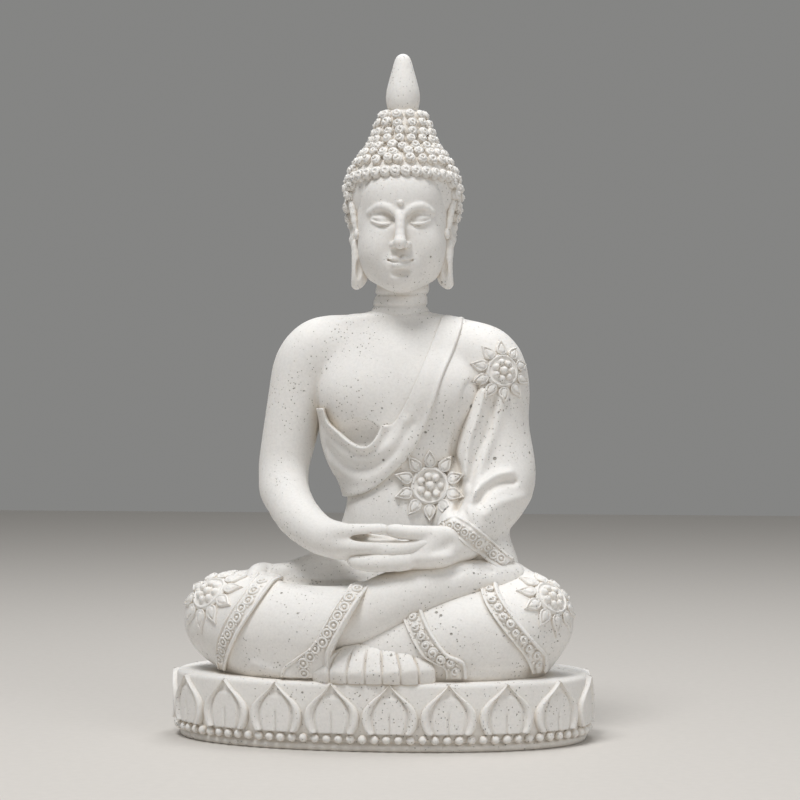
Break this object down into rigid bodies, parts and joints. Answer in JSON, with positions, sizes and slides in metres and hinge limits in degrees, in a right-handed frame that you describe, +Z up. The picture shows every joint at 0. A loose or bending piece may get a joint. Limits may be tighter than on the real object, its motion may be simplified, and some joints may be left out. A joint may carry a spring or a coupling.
{
  "type": "seated buddha statue",
  "caption": "Small seated meditating figure in a draped robe on an oval lotus plinth, cast in white stone, with a flat underside to stand on.",
  "frame": {"origin": "centre of the plinth's underside", "axes": "+Z up, the figure faces -Y, +X towards the figure's left knee"},
  "size_m": [0.1324, 0.0794, 0.2115],
  "materials": {
    "cast_stone": "matte, fine grained, with pinholes"
  },
  "bodies": {
    "root": {"plinth_foot": "cast_stone", "plinth_drum": "cast_stone", "lotus_petals": "cast_stone", "bead_string": "cast_stone", "robe_seat": "cast_stone", "right_leg": "cast_stone", "left_leg": "cast_stone", "right_shin": "cast_stone", "right_foot": "cast_stone", "pleated_apron": "cast_stone", "torso": "cast_stone", "right_arm": "cast_stone", "left_sleeve": "cast_stone", "right_hand": "cast_stone", "left_hand": "cast_stone", "neck": "cast_stone", "head": "cast_stone", "right_ear": "cast_stone", "left_ear": "cast_stone", "forehead_mark": "cast_stone", "hair_cap": "cast_stone", "hairline_curls": "cast_stone", "crown_curls": "cast_stone", "flame_finial": "cast_stone", "robe_sash": "cast_stone", "robe_fold": "cast_stone", "shoulder_rosette": "cast_stone", "waist_rosette": "cast_stone", "right_knee_rosette": "cast_stone", "left_knee_rosette": "cast_stone", "cuff_band": "cast_stone", "right_knee_band": "cast_stone", "right_hem_band": "cast_stone", "left_hem_band": "cast_stone", "left_knee_band": "cast_stone"}
  },
  "joints": []
}
